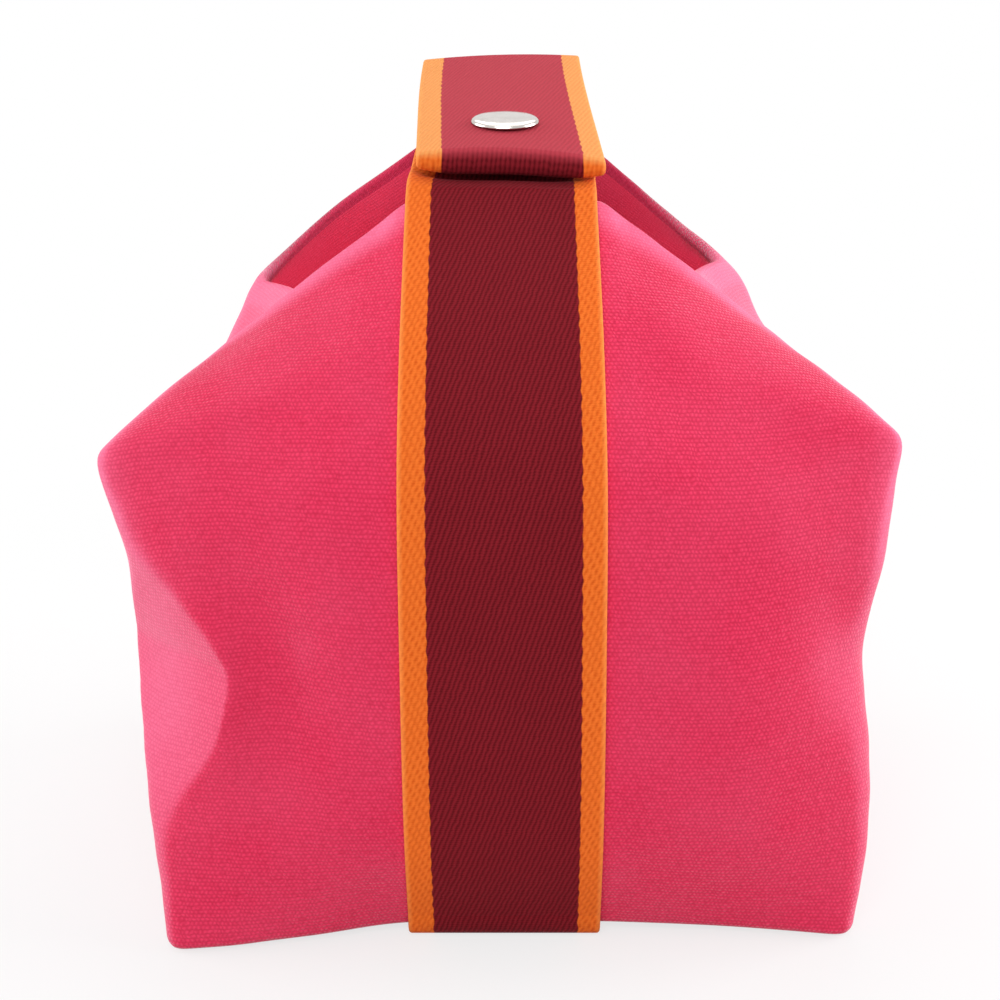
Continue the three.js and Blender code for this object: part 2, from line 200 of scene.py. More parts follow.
def past(tree, value, start, gain):
    return calc(tree, "MULTIPLY", calc(tree, "SUBTRACT", value, start), gain, clamp=True)


def weighed(tree, first, firstShare, second, secondShare):
    parts = [calc(tree, "MULTIPLY", first, firstShare), calc(tree, "MULTIPLY", second, secondShare)]
    return calc(tree, "ADD", *parts)


def mixColour(tree, share, first, second):
    node = addNode(tree, "ShaderNodeMix", {0: share, 6: first, 7: second}, data_type="RGBA")
    return node.outputs[2]


def noiseOn(tree, vector, scale, detail=2.0):
    values = {"Vector": vector, "Scale": scale, "Detail": detail}
    return addNode(tree, "ShaderNodeTexNoise", values).outputs["Fac"]


def wave(tree, value, period):
    return calc(tree, "SINE", calc(tree, "MULTIPLY", value, 2 * math.pi / period))


def weaveOn(tree):
    weave = addNode(tree, "ShaderNodeUVMap", uv_map="weave").outputs["UV"]
    flat = addNode(tree, "ShaderNodeSeparateXYZ", {0: weave})
    return weave, flat.outputs[0], flat.outputs[1]


# per point, the share of painted sheen and painted light, with rubbed wear on the canvas
def lightAndWearOn(tree):
    return addNode(tree, "ShaderNodeAttribute", attribute_name="paintedLightAndWear").outputs["Fac"]


def finishShader(tree, shader, look, base, rough, height):
    tree.links.new(base, shader.inputs["Base Color"])
    tree.links.new(rough, shader.inputs["Roughness"])
    values = {"Strength": look["bump"], "Distance": look["relief"], "Height": height}
    bump = addNode(tree, "ShaderNodeBump", values)
    tree.links.new(bump.outputs["Normal"], shader.inputs["Normal"])
    for socket, value in look["sockets"].items():
        shader.inputs[socket].default_value = value


# screen levels to linear light
def colour(*levels):
    shares = [level / 255 for level in levels]
    linear = [s / 12.92 if s <= 0.04045 else ((s + 0.055) / 1.055) ** 2.4 for s in shares]
    return (*linear, 1.0)


# heavy plain-weave canvas: beads of yarn in staggered rows, slubs, soft paling along the edges, partly rubbed
# wear and partly painted sheen and light;
# a pair, here and in the other looks, is a factor and what is added to it
canvasLook = {
    "pink": colour(230, 53, 94),
    "deep": colour(192, 28, 64),
    # the facings are a brighter copy of the canvas, as painted light on the inside of the mouth
    "facingPink": colour(250, 50, 90),
    "facingDeepPaintedLight": colour(236, 34, 68),
    "pale": colour(236, 136, 174),
    "paleDeep": colour(214, 88, 130),
    "beadPitch": 0.57 * mm,
    "rowPitch": 1.08 * mm,
    "beadShare": 0.55,
    "rowShare": 0.45,
    "slubScale": 260.0,
    "slubShift": 2.4 * mm,
    "slubSlant": 0.4,
    "unevenScale": 620.0,
    "uneven": (1.9, 0.05),
    "fuzzScale": 4200.0,
    "fuzzHeight": 0.35,
    "mottleScale": 38.0,
    "mottleFrom": 0.35,
    "mottleShare": 0.14,
    "lightAndWearRelief": (-0.75, 1.0),
    "lightAndWearDepth": (-0.55, 1.1),
    "lightAndWearGain": (0.7, 0.2),
    "rough": (0.16, 0.76),
    "bump": 0.8,
    "relief": 0.3 * mm,
    "sockets": {
        "Specular IOR Level": 0.22,
        "Sheen Weight": 0.4,
        "Sheen Roughness": 0.35,
        "Sheen Tint": (1.0, 0.8, 0.88, 1.0),
    },
}


def canvasMaterial(name, look, pink, deep):
    material, tree, shader = newMaterial(name)
    weave, across, along = weaveOn(tree)
    slub = centred(tree, noiseOn(tree, weave, look["slubScale"], detail=3.0), look["slubShift"])
    warp = wave(tree, calc(tree, "ADD", across, slub), 2 * look["beadPitch"])
    weft = wave(tree, calc(tree, "MULTIPLY_ADD", slub, look["slubSlant"], along), 2 * look["rowPitch"])
    bead = toShare(tree, calc(tree, "MULTIPLY", warp, weft))
    row = calc(tree, "ABSOLUTE", weft)
    yarn = weighed(tree, bead, look["beadShare"], row, look["rowShare"])
    uneven = noiseOn(tree, weave, look["unevenScale"], detail=3.0)
    yarn = calc(tree, "MULTIPLY", yarn, calc(tree, "MULTIPLY_ADD", uneven, *look["uneven"]))
    fuzz = noiseOn(tree, weave, look["fuzzScale"])
    lightAndWearShare = lightAndWearOn(tree)
    relief = calc(tree, "MULTIPLY", yarn, calc(tree, "MULTIPLY_ADD", lightAndWearShare, *look["lightAndWearRelief"]))
    height = calc(tree, "MULTIPLY_ADD", fuzz, look["fuzzHeight"], relief)
    depth = calc(tree, "MULTIPLY_ADD", lightAndWearShare, *look["lightAndWearDepth"])
    deepShare = calc(tree, "MULTIPLY", calc(tree, "SUBTRACT", 1.0, yarn), depth, clamp=True)
    # paler where sheen and light are painted on the cloth, and where it is rubbed
    lightAndWearMix = calc(tree, "MULTIPLY", lightAndWearShare, calc(tree, "MULTIPLY_ADD", fuzz, *look["lightAndWearGain"]), clamp=True)
    raised = mixColour(tree, lightAndWearMix, pink, look["pale"])
    sunk = mixColour(tree, lightAndWearMix, deep, look["paleDeep"])
    base = mixColour(tree, deepShare, raised, sunk)
    mottle = noiseOn(tree, weave, look["mottleScale"], detail=3.0)
    streak = past(tree, mottle, look["mottleFrom"], look["mottleShare"])
    base = mixColour(tree, streak, base, look["pale"])
    rough = calc(tree, "MULTIPLY_ADD", fuzz, *look["rough"])
    finishShader(tree, shader, look, base, rough, height)
    return material


# burgundy twill webbing with an orange border along each edge
webbingLook = {
    "burgundy": colour(130, 27, 37),
    "burgundyDeep": colour(88, 12, 20),
    # paler colours painted where the handle faces up, as painted sheen
    "burgundyPaintedSheen": colour(190, 66, 80),
    "orange": colour(230, 112, 40),
    "orangeDeep": colour(196, 72, 14),
    "orangePale": colour(248, 160, 84),
    "orangePaintedSheen": colour(222, 164, 98),
    "border": 18.6 * mm,        # from the middle to where the orange begins
    "borderShift": 0.4 * mm,
    "borderSoft": 0.25 * mm,
    "borderStep": 0.12 * mm,
    "borderJitter": 0.5,
    "scallop": 4.4 * mm,
    "edge": 25.0 * mm,
    "selvedge": 1.4 * mm,
    "selvedgeShare": 0.55,
    "jitterScale": 420.0,
    "jitter": 0.95 * mm,
    "ribPitch": 1.27 * mm,
    "ribLean": 0.35,
    "ribShare": 0.7,
    "pickPitch": 0.62 * mm,
    "pickShare": 0.3,
    "fuzzScale": 3600.0,
    "fuzzHeight": 0.3,
    "patchScale": 60.0,
    "patchShare": 0.22,
    "dashColumn": 2.3 * mm,
    "dashPitch": 2.6 * mm,
    "dashShare": 0.26,
    "dashDark": 0.55,
    "lightAndWearDepth": (-0.8, 1.2),
    "lightAndWearGain": (0.3, 0.65),
    "rough": (0.18, 0.68),
    "bump": 0.6,
    "relief": 0.22 * mm,
    "sockets": {
        "Specular IOR Level": 0.06,
        "Sheen Weight": 0.05,
        "Sheen Roughness": 0.4,
        "Sheen Tint": (1.0, 0.38, 0.4, 1.0),
    },
}


def webbingMaterial(name, look):
    material, tree, shader = newMaterial(name)
    weave, u, v = weaveOn(tree)
    jitter = centred(tree, noiseOn(tree, weave, look["jitterScale"]), look["jitter"])
    lean = calc(tree, "MULTIPLY", v, look["ribLean"])
    across = calc(tree, "ADD", calc(tree, "ADD", u, lean), jitter)
    ribs = toShare(tree, wave(tree, across, look["ribPitch"]))
    picks = toShare(tree, wave(tree, calc(tree, "ADD", v, jitter), look["pickPitch"]))
    fuzz = noiseOn(tree, weave, look["fuzzScale"])
    height = weighed(tree, ribs, look["ribShare"], picks, look["pickShare"])
    height = calc(tree, "MULTIPLY_ADD", fuzz, look["fuzzHeight"], height)
    # the colours' boundary steps in and out with the weave
    uneven = calc(tree, "MULTIPLY", jitter, look["borderJitter"])
    step = calc(tree, "MULTIPLY_ADD", wave(tree, v, look["scallop"]), look["borderStep"], uneven)
    reach = calc(tree, "ABSOLUTE", calc(tree, "SUBTRACT", u, look["borderShift"]))
    inBorder = past(tree, calc(tree, "ADD", reach, step), look["border"], 1 / look["borderSoft"])
    lightAndWearShare = lightAndWearOn(tree)
    depth = calc(tree, "MULTIPLY_ADD", lightAndWearShare, *look["lightAndWearDepth"])
    darkShare = calc(tree, "MULTIPLY", calc(tree, "SUBTRACT", 1.0, height), depth, clamp=True)
    burgundy = mixColour(tree, darkShare, look["burgundy"], look["burgundyDeep"])
    patch = noiseOn(tree, weave, look["patchScale"], detail=3.0)
    patchShare = calc(tree, "MULTIPLY", patch, look["patchShare"], clamp=True)
    burgundy = mixColour(tree, patchShare, burgundy, look["burgundyDeep"])
    dashes = calc(tree, "MULTIPLY", wave(tree, across, look["dashColumn"]), wave(tree, v, look["dashPitch"]))
    between = calc(tree, "MULTIPLY", darkShare, look["dashDark"])
    dashShare = calc(tree, "MULTIPLY_ADD", dashes, look["dashShare"], between, clamp=True)
    orange = mixColour(tree, dashShare, look["orange"], look["orangeDeep"])
    selvedgeStart = look["edge"] - look["selvedge"]
    selvedge = past(tree, calc(tree, "ABSOLUTE", u), selvedgeStart, 1 / look["selvedge"])
    selvedge = calc(tree, "MULTIPLY", selvedge, look["selvedgeShare"])
    orange = mixColour(tree, selvedge, orange, look["orangePale"])
    # painted sheen: faces of the handle and tip that turn up are made paler
    lightAndWearMix = calc(tree, "MULTIPLY", lightAndWearShare, calc(tree, "MULTIPLY_ADD", height, *look["lightAndWearGain"]), clamp=True)
    burgundy = mixColour(tree, lightAndWearMix, burgundy, look["burgundyPaintedSheen"])
    orange = mixColour(tree, lightAndWearMix, orange, look["orangePaintedSheen"])
    base = mixColour(tree, inBorder, burgundy, orange)
    rough = calc(tree, "MULTIPLY_ADD", fuzz, *look["rough"])
    finishShader(tree, shader, look, base, rough, height)
    return material


# narrow woven tape with a herringbone
tapeLook = {
    "pink": colour(204, 40, 84),
    "deep": colour(150, 20, 56),
    "pitch": 0.9 * mm,
    "bone": 3.4 * mm,
    "fuzzScale": 3000.0,
    "fuzzHeight": 0.4,
    "deepFrom": 1.1,
    "deepShare": 0.7,
    "rough": (0.15, 0.72),
    "bump": 0.5,
    "relief": 0.2 * mm,
    "sockets": {"Sheen Weight": 0.2},
}


def tapeMaterial(name, look):
    material, tree, shader = newMaterial(name)
    weave, u, v = weaveOn(tree)
    zigzag = calc(tree, "PINGPONG", u, look["bone"])
    ribs = toShare(tree, wave(tree, calc(tree, "ADD", v, zigzag), look["pitch"]))
    fuzz = noiseOn(tree, weave, look["fuzzScale"])
    height = calc(tree, "MULTIPLY_ADD", fuzz, look["fuzzHeight"], ribs)
    below = calc(tree, "SUBTRACT", look["deepFrom"], height)
    share = calc(tree, "MULTIPLY", below, look["deepShare"], clamp=True)
    base = mixColour(tree, share, look["pink"], look["deep"])
    rough = calc(tree, "MULTIPLY_ADD", fuzz, *look["rough"])
    finishShader(tree, shader, look, base, rough, height)
    return material


# plated metal with fine rubbing marks and dull clouds
metalLook = {
    "silver": colour(206, 200, 194),
    "dull": colour(176, 168, 162),
    "markStretch": (1.0, 9.0, 1.0),
    "markScale": 900.0,
    "cloudScale": 260.0,
    "cloudFrom": 0.4,
    "cloudShare": 0.9,
    "rough": (0.12, 0.1),
    "bump": 0.02,
    "relief": 0.05 * mm,
    "sockets": {"Metallic": 1.0},
}


def metalMaterial(name, look):
    material, tree, shader = newMaterial(name)
    place = addNode(tree, "ShaderNodeTexCoord").outputs["Object"]
    stretched = addNode(tree, "ShaderNodeMapping", {"Vector": place, "Scale": look["markStretch"]}).outputs[0]
    marks = noiseOn(tree, stretched, look["markScale"], detail=4.0)
    cloud = past(tree, noiseOn(tree, place, look["cloudScale"]), look["cloudFrom"], look["cloudShare"])
    base = mixColour(tree, cloud, look["silver"], look["dull"])
    rough = calc(tree, "MULTIPLY_ADD", marks, *look["rough"])
    finishShader(tree, shader, look, base, rough, marks)
    return material


canvas = canvasMaterial("pinkCanvas", canvasLook, canvasLook["pink"], canvasLook["deep"])
# facings: the canvas painted brighter, as painted light inside the mouth
facingCanvasPaintedLight = canvasMaterial("facingCanvasPaintedLight", canvasLook, canvasLook["facingPink"], canvasLook["facingDeepPaintedLight"])
webbing = webbingMaterial("stripedWebbing", webbingLook)
tape = tapeMaterial("seamTape", tapeLook)
metal = metalMaterial("snapSilver", metalLook)
print("materials made")

# canvas walls, lofted as one ring round the pouch and cut at the corner seams; lines in mm, from the foot up
walls = {
    "frontCentre": [
        (0, -68.5, 2.0), (0, -78.5, 33), (0, -82, 84), (0, -78, 127), (0, -63, 152), (0, -26.5, 188.5),
    ],
    "backCentre": [(0, 66, 2.3), (0, 78, 33), (0, 82, 84), (0, 78, 127), (0, 78, 165), (0, 76, 197)],
    "frontRight": [
        (92, -73.5, 0), (95.8, -69, 30), (93.4, -66, 70), (96.6, -65.5, 96), (100.5, -62.5, 118),
        (103.2, -60.5, 128), (102.8, -59.2, 131), (99.8, -57.2, 134), (89.5, -48.5, 141.5), (76.5, -38, 149),
    ],
    "frontLeft": [
        (-87.8, -80, 0), (-91.2, -72, 30), (-94.6, -67, 74), (-95.6, -65, 100), (-103, -62, 117),
        (-105.6, -60.3, 124.5), (-105.4, -59.4, 126.6), (-102.6, -58, 129.2), (-90, -48.5, 138.8),
        (-76.5, -38, 149),
    ],
    "backRight": [
        (88.5, 66, 0), (92.5, 66, 84), (99, 61, 122), (97, 60.5, 127), (90, 60, 134.5),
        (83.5, 60, 143.5), (79.5, 61, 151.5), (71.5, 61, 159.5),
    ],
    "backLeft": [
        (-88.5, 66, 0), (-92.5, 66, 84), (-99, 61, 121), (-96.5, 60.5, 126), (-91.4, 59.5, 133.5),
        (-88.4, 60, 140.7), (-86, 61, 147.5), (-82.5, 61, 153),
    ],
    "rightFold": [(89, 0, 0), (93, 0, 84), (88, 0, 112), (56, 11.5, 160)],
    "leftFold": [(-89, 0, 0), (-94, 0, 84), (-88, 0, 112), (-59, 11.5, 154.5)],
    "flatHalf": 25.5,           # half width that lies flat under the strap
    "flatSoft": 0.0016,         # rounds the bend beside that
    "baseHalf": 88.5,
    "tuckShape": 1.5,           # higher is a flatter tuck
    "panelColumns": 156,
    "gussetColumns": 100,
    "rows": 160,
    "footRows": 10,
    "footShare": 0.05,
    "footTurn": (1.8, 1.0),     # radius under the strap, and how much more it is at the corners
    "footTurnGrows": (28, 62),
    "cloth": 1.2 * mm,
    "rimRoll": 1.35 * mm,
    "rimTurnIn": 2.6 * mm,
    "rollSteps": 8,
    "cornerColumns": 7.5,       # how far the rounding of a corner reaches
    "cornerPasses": 30,
    "dentPasses": 6,
    "rowPasses": 2,
    "rimPasses": 16,
    "panelCut": (0.205, 0.235),
    "gussetCut": (0.135, 0.185),
}

# soft pushes in the cloth: middle, reach and move in mm
pushes = [
    ((-94, -42, 66), (16, 24, 42), (-3.2, 0, 0)),       # left side swells behind the dent
    ((91, -66, 74), (12, 16, 17), (-2.0, 1.6, 0)),      # shallow dent on the right corner
    ((95, -40, 52), (14, 28, 40), (2.0, 0, 0)),
    ((-71, -72, 70), (9, 20, 20), (0, -2.6, 0)),        # ridge along the dent's crease
    ((-57, -76, 70), (12, 20, 28), (0, 5.4, 0)),        # valley beside the ridge
    ((-66, -72, 96), (13, 20, 16), (0, 2.6, 0)),
    ((-52, -74, 24), (24, 20, 20), (0, -2.4, 0)),
    ((58, -76, 58), (24, 20, 34), (0, -1.8, 0)),
    ((82, -70, 96), (14, 20, 20), (0, 1.8, 0)),
    ((60, -60, 132), (20, 20, 14), (0, 1.6, -0.6)),
    ((-60, -60, 132), (20, 20, 14), (0, 1.8, -0.6)),
    ((44, -50, 160), (10, 16, 10), (0, -1.4, 0.8)),
    ((-46, -50, 158), (9, 16, 10), (0, 1.2, -0.6)),
    ((-56, 72, 174), (22, 20, 18), (0, 0, 2.2)),        # back rim arches a little on the left
    ((-50, -72, 0), (16, 20, 14), (0, -3.0, 0)),        # left foot stands forward
    ((-70, -72, 0), (13, 20, 14), (0, -2.6, 0)),
    ((62, 76, 60), (20, 20, 30), (0, -3.0, 0)),         # back hollows
    ((-58, 76, 84), (22, 20, 26), (0, -2.4, 0)),
    ((90, 20, 40), (14, 26, 26), (-2.2, 0, 0)),
    ((-92, 30, 62), (14, 24, 28), (2.6, 0, 0)),
]

# the pushed-in front left corner: a flat face across it, by how far it cuts in at each height, in mm
cornerDent = {
    "outward": (-0.68, -0.733),
    "heights": (10, 26, 40, 56, 70, 76, 90, 102, 112),
    "depths": (0.0, 1.0, 4.4, 8.6, 11.4, 11.6, 6.8, 2.2, 0.0),
    "soft": 0.5,
}

# slight waves all over: height in mm, then turns by two of x, y and z with a start
rumple = {
    "soft": (0.45, (0.085, 0.061, 0.6), (0.052, -0.071, 1.1)),
    "fine": (0.16, (0.21, -0.17, 2.0), (0.19, 0.23, 0.0)),
    "hang": (0.7, (0.24, 0.02, 0.7)),
    "hangRise": (0.55, 0.75),
    "hangFall": (0.84, 0.97),
    "hangFallShare": 0.85,
    "hangBack": (20, 50),
    "besideStrap": (26, 34),
    "aboveFoot": (3, 14),
}


def panelWall(centre, left, right, across, up):
    middle = onLine(centre, up)
    corner = np.where(across[..., None] < 0, onLine(left, up), onLine(right, up))
    flatHalf = walls["flatHalf"] * mm
    flatShare = walls["flatHalf"] / walls["baseHalf"]
    reach = np.abs(across)
    t = (reach - flatShare) / (1 - flatShare)
    out = (t + np.sqrt(t * t + walls["flatSoft"])) / 2
    beside = flatHalf + (np.abs(corner[..., 0]) - flatHalf) * t
    x = np.where(t > 0, beside, reach / flatShare * flatHalf)
    y = middle[..., 1] + (corner[..., 1] - middle[..., 1]) * out**2
    z = middle[..., 2] + (corner[..., 2] - middle[..., 2]) * out
    return np.stack([np.sign(across) * x, y, z], -1)


def gussetWall(first, second, fold, across, up):
    a, b = onLine(first, up), onLine(second, up)
    share = (across[..., None] + 1) / 2
    tuck = onLine(fold, up) - (a + b) / 2
    return a + (b - a) * share + tuck * (1 - np.abs(across[..., None]) ** walls["tuckShape"])


def wallRing():
    line = {key: lineThrough(value) for key, value in walls.items() if isinstance(value, list)}
    length = line["frontCentre"][0][-1]
    top = 1 - (walls["rimRoll"] + walls["cloth"] / 2) / length
    foot = np.linspace(0, walls["footShare"], walls["footRows"] + 1)[:-1]
    up = np.concatenate([foot, np.linspace(walls["footShare"], top, walls["rows"])])
    panel = np.linspace(-1, 1, walls["panelColumns"] + 1)
    gusset = np.linspace(-1, 1, walls["gussetColumns"] + 1)
    across, high = np.meshgrid(panel, up)
    acrossSide, highSide = np.meshgrid(gusset, up)
    front = panelWall(line["frontCentre"], line["frontLeft"], line["frontRight"], across, high)
    back = panelWall(line["backCentre"], line["backLeft"], line["backRight"], -across, high)
    right = gussetWall(line["frontRight"], line["backRight"], line["rightFold"], acrossSide, highSide)
    left = gussetWall(line["backLeft"], line["frontLeft"], line["leftFold"], acrossSide, highSide)
    return np.concatenate([w[:, :-1] for w in (front, right, back, left)], axis=1)


def roundCorners(ring, corners, passes):
    count = ring.shape[1]
    columns = np.arange(count)
    weight = np.zeros(count)
    for corner in corners:
        gap = np.abs((columns - corner + count / 2) % count - count / 2)
        weight = np.maximum(weight, np.exp(-((gap / walls["cornerColumns"]) ** 2)))
    for _ in range(passes):
        middle = (np.roll(ring, 1, axis=1) + np.roll(ring, -1, axis=1)) / 2
        ring = ring + 0.5 * weight[None, :, None] * (middle - ring)
    return ring


def softPushes(ring):
    moved = ring.copy()
    for middle, reach, move in pushes:
        away = (ring - np.array(middle) * mm) / (np.array(reach) * mm)
        moved += np.exp(-(away**2).sum(-1))[..., None] * np.array(move) * mm
    return moved


def flattenCorner(ring, dent):
    edge = lineThrough(walls["frontLeft"])[1] / mm
    height = ring[..., 2] / mm
    corner = np.stack([np.interp(height, edge[:, 2], edge[:, k]) for k in range(2)], -1)
    depth = np.interp(height, dent["heights"], dent["depths"], left=0, right=0)
    outward = np.array(dent["outward"])
    over = (ring[..., :2] / mm - corner) @ outward + depth
    pull = (over + np.sqrt(over**2 + dent["soft"] ** 2)) / 2 * smoothStep(0, 1, depth)
    moved = ring.copy()
    moved[..., :2] -= pull[..., None] * outward * mm
    return moved


def ripple(first, second, turns):
    return np.sin(turns[0] * first + turns[1] * second + turns[2])


def rumples(ring, normals):
    x, y, z = (ring[..., k] / mm for k in range(3))
    lift = 0.0
    for key in ("soft", "fine"):
        height, overXZ, overYZ = rumple[key]
        lift = lift + height * ripple(x, z, overXZ) * ripple(y, z, overYZ)
    # the back wall hangs in upright waves
    high = np.linspace(0, 1, len(ring))[:, None]
    height, overXZ = rumple["hang"]
    fall = 1 - rumple["hangFallShare"] * smoothStep(*rumple["hangFall"], high)
    hang = height * ripple(x, z, overXZ) * smoothStep(*rumple["hangRise"], high) * fall
    lift = lift + hang * smoothStep(*rumple["hangBack"], y)
    free = smoothStep(*rumple["besideStrap"], np.abs(x)) * smoothStep(*rumple["aboveFoot"], z)
    return ring + normals * (lift * free * mm)[..., None]


def ringNormals(ring):
    along = np.roll(ring, -1, axis=1) - np.roll(ring, 1, axis=1)
    rise = np.gradient(ring, axis=0)
    return unit(np.cross(along, rise))


def smoothRows(ring, passes):
    for _ in range(passes):
        ring[1:-1] = ring[1:-1] + smoothShare * (ring[:-2] + ring[2:] - 2 * ring[1:-1])
    return ring


# the foot of each wall turns in under the pouch
def turnFoot(ring, normals):
    rise = lengthAlong(ring)
    least, more = walls["footTurn"]
    radius = (least + more * smoothStep(*walls["footTurnGrows"], np.abs(ring[..., 0]) / mm)) * mm
    inset = np.clip(1 - rise / radius, 0, 1)
    outward = normals.copy()
    outward[..., 2] = 0
    return ring - unit(outward) * (radius * (1 - np.sqrt(1 - inset**2)))[..., None]


panelColumns, gussetColumns = walls["panelColumns"], walls["gussetColumns"]
seamAt = np.cumsum([0, panelColumns, gussetColumns, panelColumns, gussetColumns])
ring = roundCorners(wallRing(), seamAt[:-1], walls["cornerPasses"])
ring = flattenCorner(softPushes(ring), cornerDent)
ring = roundCorners(ring, seamAt[:-1], walls["dentPasses"])
ring = smoothRows(ring, walls["rowPasses"])
ring = rumples(ring, ringNormals(ring))
ring = turnFoot(ring, ringNormals(ring))
normal = ringNormals(ring)
print("walls lofted:", ring.shape[:2])


def evenRound(vectors, passes):
    for _ in range(passes):
        around = np.roll(vectors, 1, axis=0) + np.roll(vectors, -1, axis=0)
        vectors = vectors + smoothShare * (around - 2 * vectors)
    return unit(vectors)


# outer and inner faces of the cloth from the foot, over the rim's roll, to its turned-in edge
def rolledFaces(ring, normal):
    cloth, roll = walls["cloth"], walls["rimRoll"]
    middle = ring - normal * cloth / 2
    last, out = middle[-1], evenRound(normal[-1], walls["rimPasses"])
    rise = evenRound(ring[-1] - ring[-2], walls["rimPasses"])
    rise = unit(rise - out * (rise * out).sum(-1, keepdims=True))
    rows, facing = [middle], [normal]
    centre = last - out * roll
    for angle in np.linspace(0, math.pi, walls["rollSteps"] + 1)[1:]:
        way = out * math.cos(angle) + rise * math.sin(angle)
        rows.append((centre + way * roll)[None])
        facing.append(way[None])
    for drop in (walls["rimTurnIn"] / 2, walls["rimTurnIn"]):
        rows.append((centre - out * roll - rise * drop)[None])
        facing.append(-out[None])
    middle, way = np.vstack(rows), np.vstack(facing)
    return middle + way * cloth / 2, middle - way * cloth / 2, way


def columnsOf(grid, start, end):
    return np.take(grid, np.arange(start, end + 1) % grid.shape[1], axis=1)


def flatCoordinates(grid):
    rise = lengthAlong(grid)
    reach = lengthAlong(grid, axis=1)
    middle = grid.shape[1] // 2
    return np.stack([reach - reach[:, [middle]], rise], -1)


# the cloth is paler along the rim and the hips, partly rubbed wear and partly painted sheen; the sides, the
# tucks and the flat corner are paler only as painted sheen where they face the light
lightAndWearPlaces = {
    "rim": 0.75,
    "backRim": 0.2,
    "rimRise": (0.935, 0.985),
    "rimInside": (1, 7),        # rows past the top of the wall
    "rimInsideLoss": 0.8,
    "backFrom": (58, 66),
    "hips": 0.9,
    "hipsOut": (52, 74),
    "hipsRise": (0.5, 0.62),
    "hipsBend": 2.6,
    "sides": 0.36,
    "sidesTurn": (0.38, 0.66),
    "sidesEnd": (-1, 4),        # rows past the top of the wall
    "tucks": 0.36,
    "tucksRise": (0.42, 0.86),
    "corner": 0.45,
    "cornerPlace": (-88, -58, 62),
    "cornerReach": (20, 18, 42),
}


def paintedLightAndWear(grid, way, rows):
    pastTop = np.arange(len(grid))[:, None] - rows
    rise = np.arange(len(grid))[:, None] / rows
    bend = np.linalg.norm(np.gradient(np.gradient(grid, axis=1), axis=1), axis=-1) / mm
    hip = smoothStep(*lightAndWearPlaces["hipsOut"], np.abs(grid[..., 0]) / mm) * smoothStep(*lightAndWearPlaces["hipsRise"], rise)
    inside = 1 - lightAndWearPlaces["rimInsideLoss"] * smoothStep(*lightAndWearPlaces["rimInside"], pastTop)
    behind = smoothStep(*lightAndWearPlaces["backFrom"], grid[..., 1] / mm)
    # rim and hips: rubbed wear mixed with a painted highlight, kept low inside the roll and along the back
    rim = smoothStep(*lightAndWearPlaces["rimRise"], rise) * inside
    rim = rim * (lightAndWearPlaces["rim"] + (lightAndWearPlaces["backRim"] - lightAndWearPlaces["rim"]) * behind)
    # painted sheen: faces turned to the sides, the tucks and the dent's flat corner are made paler
    sideEnds = 1 - smoothStep(*lightAndWearPlaces["sidesEnd"], pastTop)
    side = smoothStep(*lightAndWearPlaces["sidesTurn"], np.abs(way[..., 0])) * sideEnds
    tuck = side * smoothStep(*lightAndWearPlaces["tucksRise"], rise)
    away = (grid / mm - np.array(lightAndWearPlaces["cornerPlace"])) / np.array(lightAndWearPlaces["cornerReach"])
    corner = np.exp(-(away**2).sum(-1)) * side
    lightAndWearShare = rim + lightAndWearPlaces["tucks"] * tuck + lightAndWearPlaces["hips"] * np.clip(bend * lightAndWearPlaces["hipsBend"], 0, 1) * hip
    return np.clip(lightAndWearShare + lightAndWearPlaces["sides"] * side + lightAndWearPlaces["corner"] * corner, 0, 1)


outer, inner, way = rolledFaces(ring, normal)
wallPieces = [
    ("frontPanel", "front_panel", walls["panelCut"]),
    ("rightGusset", "right_gusset", walls["gussetCut"]),
    ("backPanel", "back_panel", walls["panelCut"]),
    ("leftGusset", "left_gusset", walls["gussetCut"]),
]
for (name, node, cut), start, end in zip(wallPieces, seamAt, seamAt[1:]):
    face, rear, turn = (columnsOf(grid, start, end) for grid in (outer, inner, way))
    lightAndWear = paintedLightAndWear(face, turn, len(ring))
    piece = sheetObject(name, face, rear, flatCoordinates(face), turn, lightAndWear=lightAndWear)
    finishPiece(piece, canvas, [node], "pouch")
print("canvas walls made")

# facings behind the rim, a short way clear of the corner folds
facings = {
    "thickness": 0.9 * mm,
    "depth": 22 * mm,
    "rimGap": 0.1 * mm,
    "rows": 12,
    "clear": 6,                 # columns
    "evenPasses": 30,
    "pale": 0.2,
}
fromTop = lengthAlong(ring[::-1])
evenNormal = np.stack([evenRound(row, facings["evenPasses"]) for row in normal])
facingDrops = np.linspace(walls["rimTurnIn"] + facings["rimGap"], facings["depth"], facings["rows"])


def atDrops(grid, column):
    away = fromTop[:, column]
    return np.stack([np.interp(facingDrops, away, grid[::-1, column, k]) for k in range(3)], -1)


def facingFaces(start, end):
    columns = np.arange(start + facings["clear"], end - facings["clear"] + 1) % ring.shape[1]
    place = np.stack([atDrops(ring, column) for column in columns], 1)
    turn = unit(np.stack([atDrops(evenNormal, column) for column in columns], 1))
    deep = walls["cloth"] / 2 + 2 * walls["rimRoll"] + (walls["cloth"] - facings["thickness"]) / 2
    middle = place - turn * deep
    half = facings["thickness"] / 2
    return middle - turn * half, middle + turn * half, -turn


facingPieces = [
    ("frontFacing", "front_rim_facing", "front_panel"),
    ("rightFacing", "right_rim_facing", "right_gusset"),
    ("backFacing", "back_rim_facing", "back_panel"),
    ("leftFacing", "left_rim_facing", "left_gusset"),
]
